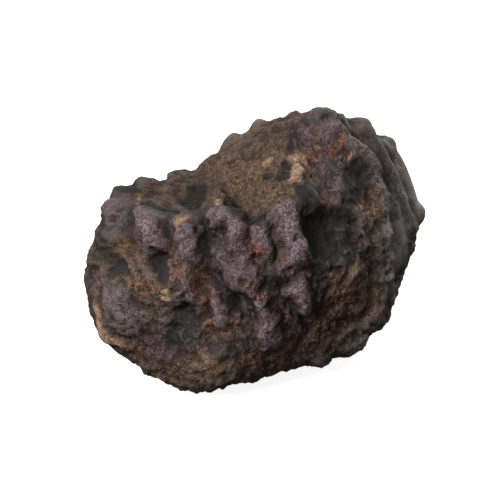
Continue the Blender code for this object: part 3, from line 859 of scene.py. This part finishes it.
def crust_material():
    """Weathered crust: dark varnish, brown crumbly rock, rust in the pits, pale grains, with
    painted lilac highlights, a painted grey rim sheen, painted highlights on raised edges and
    painted shade.
    """
    crust = Finish("crust")
    speckle = crust.grain(0.15, 2.0, 0.6)
    fine = crust.grain(0.35, 4.0, 0.6)
    medium = crust.grain(1.1, 4.0, 0.6, 0.6)
    coarse = crust.grain(2.6, 3.0, 0.5, 0.8)
    flecks = crust.grain(0.32, 3.0, 0.6, 2.2)
    sparks = crust.grain(0.5, 3.0, 0.6, 2.0)
    wrinkle = crust.grain(0.9, 3.0, 0.5, 2.0)

    brown = crust.mix(crust.step(fine, 0.35, 0.65), DARK_BROWN, BROWN)
    green_share = crust.math("MULTIPLY", crust.step(coarse, 0.46, 0.58), 0.75)
    brown = crust.mix(green_share, brown, GREENISH_BROWN)
    purple = crust.mix(crust.step(fine, 0.40, 0.68), DARK_PURPLE, PURPLE)
    plain = crust.mix(crust.step(medium, 0.4, 0.62), DARK_CRUST, LIGHTER_CRUST)
    ragged = crust.math("ADD", crust.share("varnished"), crust.math("SUBTRACT", coarse, 0.5))
    colour = crust.mix(crust.step(ragged, 0.25, 0.65), plain, purple)
    # Painted highlight: lilac sheen laid into the colour where the sheen share and the wrinkles are
    # high.
    lilac_highlight_share = crust.math("MULTIPLY", crust.share("painted_sheen"), crust.step(wrinkle, 0.40, 0.62))
    colour = crust.mix(crust.math("MULTIPLY", lilac_highlight_share, 0.85), colour, LILAC_HIGHLIGHT)
    colour = crust.mix(crust.share("crumbly"), colour, brown)
    # Grey of the crust, and painted rim sheen along the crest and the right end.
    rim_sheen_share = crust.math("MULTIPLY", crust.share("grey_and_rim_sheen"), crust.step(medium, 0.35, 0.6))
    colour = crust.mix(rim_sheen_share, colour, RIM_SHEEN_GREY)

    rust_share = crust.math("MULTIPLY", crust.share("rusty"), crust.step(medium, 0.38, 0.58))
    rust = crust.mix(crust.step(fine, 0.4, 0.6), DARK_RUST, RUST)
    colour = crust.mix(rust_share, colour, rust)
    ochre_share = crust.step(crust.share("ochre"), 0.1, 0.8)
    ochre_share = crust.math("MULTIPLY", ochre_share, crust.step(sparks, 0.46, 0.60))
    ochre = crust.mix(crust.step(fine, 0.35, 0.6), DARK_OCHRE, LIGHT_OCHRE)
    colour = crust.mix(crust.math("MULTIPLY", ochre_share, 0.85), colour, ochre)
    dirt = crust.math("MULTIPLY", crust.step(sparks, 0.56, 0.66), crust.step(coarse, 0.42, 0.58))
    colour = crust.mix(crust.math("MULTIPLY", dirt, 0.6), colour, DIRT)
    clusters = crust.step(flecks, 0.57, 0.66)
    clusters = crust.math("MULTIPLY", clusters, crust.step(medium, 0.38, 0.54))
    coarse_skin = crust.math("SUBTRACT", 1.0, crust.math("MULTIPLY", crust.share("smooth"), 0.7))
    cluster_share = crust.math("MULTIPLY", clusters, crust.math("MULTIPLY", coarse_skin, 0.9))
    colour = crust.mix(cluster_share, colour, FLECK)
    pale_share = crust.math("MULTIPLY", crust.share("pale"), crust.step(fine, 0.25, 0.6))
    colour = crust.mix(pale_share, colour, CREAM)
    # Black crust and painted shade: near black in the hollows, pits, grooves and under the lips.
    edge = crust.math("MULTIPLY", crust.math("SUBTRACT", crust.math("ADD", medium, fine), 1.0), 1.3)
    black_and_shade_share = crust.step(crust.math("ADD", crust.share("black_and_shade"), edge), 0.25, 0.95)
    colour = crust.mix(crust.math("MULTIPLY", black_and_shade_share, 0.95), colour, JET_AND_SHADE)
    shade = crust.step(crust.share("hollow"), 0.45, 0.85)
    colour = crust.mix(crust.math("MULTIPLY", shade, 0.65), colour, DEEP_SHADE)
    # Painted highlight: the raised edges lightened.
    edge_highlight_share = crust.math("MULTIPLY", crust.step(crust.share("hollow"), 0.30, 0.0), 0.22)
    colour = crust.mix(edge_highlight_share, colour, EDGE_HIGHLIGHT)
    dark_speckle = crust.math("MULTIPLY", crust.step(speckle, 0.48, 0.36), 0.7)
    colour = crust.mix(crust.math("MULTIPLY", dark_speckle, coarse_skin), colour, SPECKLE)
    crust.join(colour, crust.shader.inputs["Base Color"])

    gloss = crust.math("MULTIPLY", crust.share("varnished"), VARNISH_GLOSS)
    rough = crust.math("SUBTRACT", CRUST_ROUGHNESS, gloss)
    duller = crust.math("MULTIPLY", crust.share("crumbly"), CRUMBLY_DULLNESS)
    rough = crust.math("ADD", rough, duller)
    rough = crust.math("ADD", rough, crust.math("MULTIPLY", black_and_shade_share, BLACK_AND_SHADE_DULLNESS))
    duller = crust.math("MULTIPLY", crust.step(fine, 0.3, 0.7), GRAIN_DULLNESS)
    rough = crust.math("ADD", rough, duller)
    crust.join(rough, crust.shader.inputs["Roughness"])
    crust.shader.inputs["IOR"].default_value = CRUST_IOR
    crust.shader.inputs["Specular IOR Level"].default_value = CRUST_SPECULAR

    wrinkles = crust.nodes.new("ShaderNodeBump")
    wrinkles.inputs["Distance"].default_value = WRINKLE_DEPTH * MILLIMETRE
    wrinkled = crust.math("SUBTRACT", 0.9, crust.math("MULTIPLY", black_and_shade_share, 0.6))
    crust.join(crust.math("MULTIPLY", wrinkled, coarse_skin), wrinkles.inputs["Strength"])
    crust.join(wrinkle, wrinkles.inputs["Height"])
    bump = crust.nodes.new("ShaderNodeBump")
    crust.join(wrinkles.outputs["Normal"], bump.inputs["Normal"])
    bump.inputs["Distance"].default_value = GRAIN_DEPTH * MILLIMETRE
    crust.join(crust.math("MULTIPLY", wrinkled, coarse_skin), bump.inputs["Strength"])
    grain_height = crust.math("ADD", fine, crust.math("MULTIPLY", speckle, 0.5))
    crust.join(grain_height, bump.inputs["Height"])
    crust.join(bump.outputs["Normal"], crust.shader.inputs["Normal"])
    return crust.material


# The floor, the lights and the camera, in metres and watts.
FLOOR_SIZE = 60.0
FLOOR_GREY = (0.5, 0.5, 0.5)
FLOOR_ROUGHNESS = 0.9
FLOOR_GLOW = 0.88
LIGHTS = {                     # the place, the size of the square and the power of each
    "key": ((-0.36, -0.32, 0.42), 0.30, 6.2),
    "overhead": ((-0.1, 0.15, 0.6), 0.3, 1.0),
    "behind": ((0.25, 0.5, 0.25), 0.5, 2.0),
    "right": ((0.45, 0.35, 0.20), 0.4, 1.8),
    "low in front": ((0.18, -0.52, 0.06), 0.5, 0.9),
}
LIT_HEIGHT = 0.018             # of the point that the lights are turned to
ROOM_LIGHT = 0.05
CAMERA_ELEVATION = radians(25)
CAMERA_DISTANCE = 0.2143
CAMERA_LENS = 100              # mm
CAMERA_SENSOR = 36             # mm
NEAREST_SEEN = 0.01
AIM_TO_THE_LEFT = 1.08         # mm, of the stone's centre


def make_floor():
    """A plain pale floor, much larger than the view."""
    half = FLOOR_SIZE / 2
    corner_places = [(-half, -half, 0), (half, -half, 0), (half, half, 0), (-half, half, 0)]
    mesh = bpy.data.meshes.new("floor")
    mesh.from_pydata(corner_places, [], [(0, 1, 2, 3)])
    floor = bpy.data.objects.new("floor", mesh)
    bpy.context.scene.collection.objects.link(floor)
    material = bpy.data.materials.new("pale floor")
    material.use_nodes = True
    shader = material.node_tree.nodes["Principled BSDF"]
    shader.inputs["Base Color"].default_value = (*FLOOR_GREY, 1)
    shader.inputs["Roughness"].default_value = FLOOR_ROUGHNESS
    shader.inputs["Specular IOR Level"].default_value = 0.0
    shader.inputs["Emission Color"].default_value = (1, 1, 1, 1)
    shader.inputs["Emission Strength"].default_value = FLOOR_GLOW
    mesh.materials.append(material)
    floor.visible_diffuse = False
    floor.visible_glossy = False


def soft_light(name, place, size, watts):
    """A square soft white light at this place, turned to the stone."""
    light = bpy.data.lights.new(name, "AREA")
    light.size = size
    light.energy = watts
    lamp = bpy.data.objects.new(name, light)
    lamp.location = place
    aim = Vector((0, 0, LIT_HEIGHT)) - Vector(place)
    lamp.rotation_euler = aim.to_track_quat("-Z", "Y").to_euler()
    lamp.visible_camera = False
    bpy.context.scene.collection.objects.link(lamp)


def light_the_scene():
    """A large soft light high on the left in front, one overhead, one behind and two weak fill
    lights, to the right and low in front, in a pale room."""
    for name, (place, size, watts) in LIGHTS.items():
        soft_light(name, place, size, watts)
    world = bpy.data.worlds.new("room")
    world.use_nodes = True
    background = world.node_tree.nodes["Background"]
    background.inputs["Color"].default_value = (1, 1, 1, 1)
    background.inputs["Strength"].default_value = ROOM_LIGHT
    bpy.context.scene.world = world
    bpy.context.scene.view_settings.view_transform = "Standard"


def place_camera(shift):
    """A long lens in front of the stone, looking down on it by 25 degrees."""
    aim = Vector((shift[0] - AIM_TO_THE_LEFT, shift[1], CENTRE_HEIGHT)) * MILLIMETRE
    back = Vector((0, -cos(CAMERA_ELEVATION), sin(CAMERA_ELEVATION)))
    data = bpy.data.cameras.new("camera")
    data.lens = CAMERA_LENS
    data.sensor_width = CAMERA_SENSOR
    data.clip_start = NEAREST_SEEN
    camera = bpy.data.objects.new("camera", data)
    camera.location = aim + back * CAMERA_DISTANCE
    camera.rotation_euler = (-back).to_track_quat("-Z", "Y").to_euler()
    bpy.context.scene.collection.objects.link(camera)
    bpy.context.scene.camera = camera


def corners(bounds):
    """Two corners as plain lists of numbers."""
    return [[float(number) for number in corner] for corner in bounds]


stone, shift = make_stone()
stone.data.materials.append(crust_material())
make_floor()
light_the_scene()
place_camera(shift)
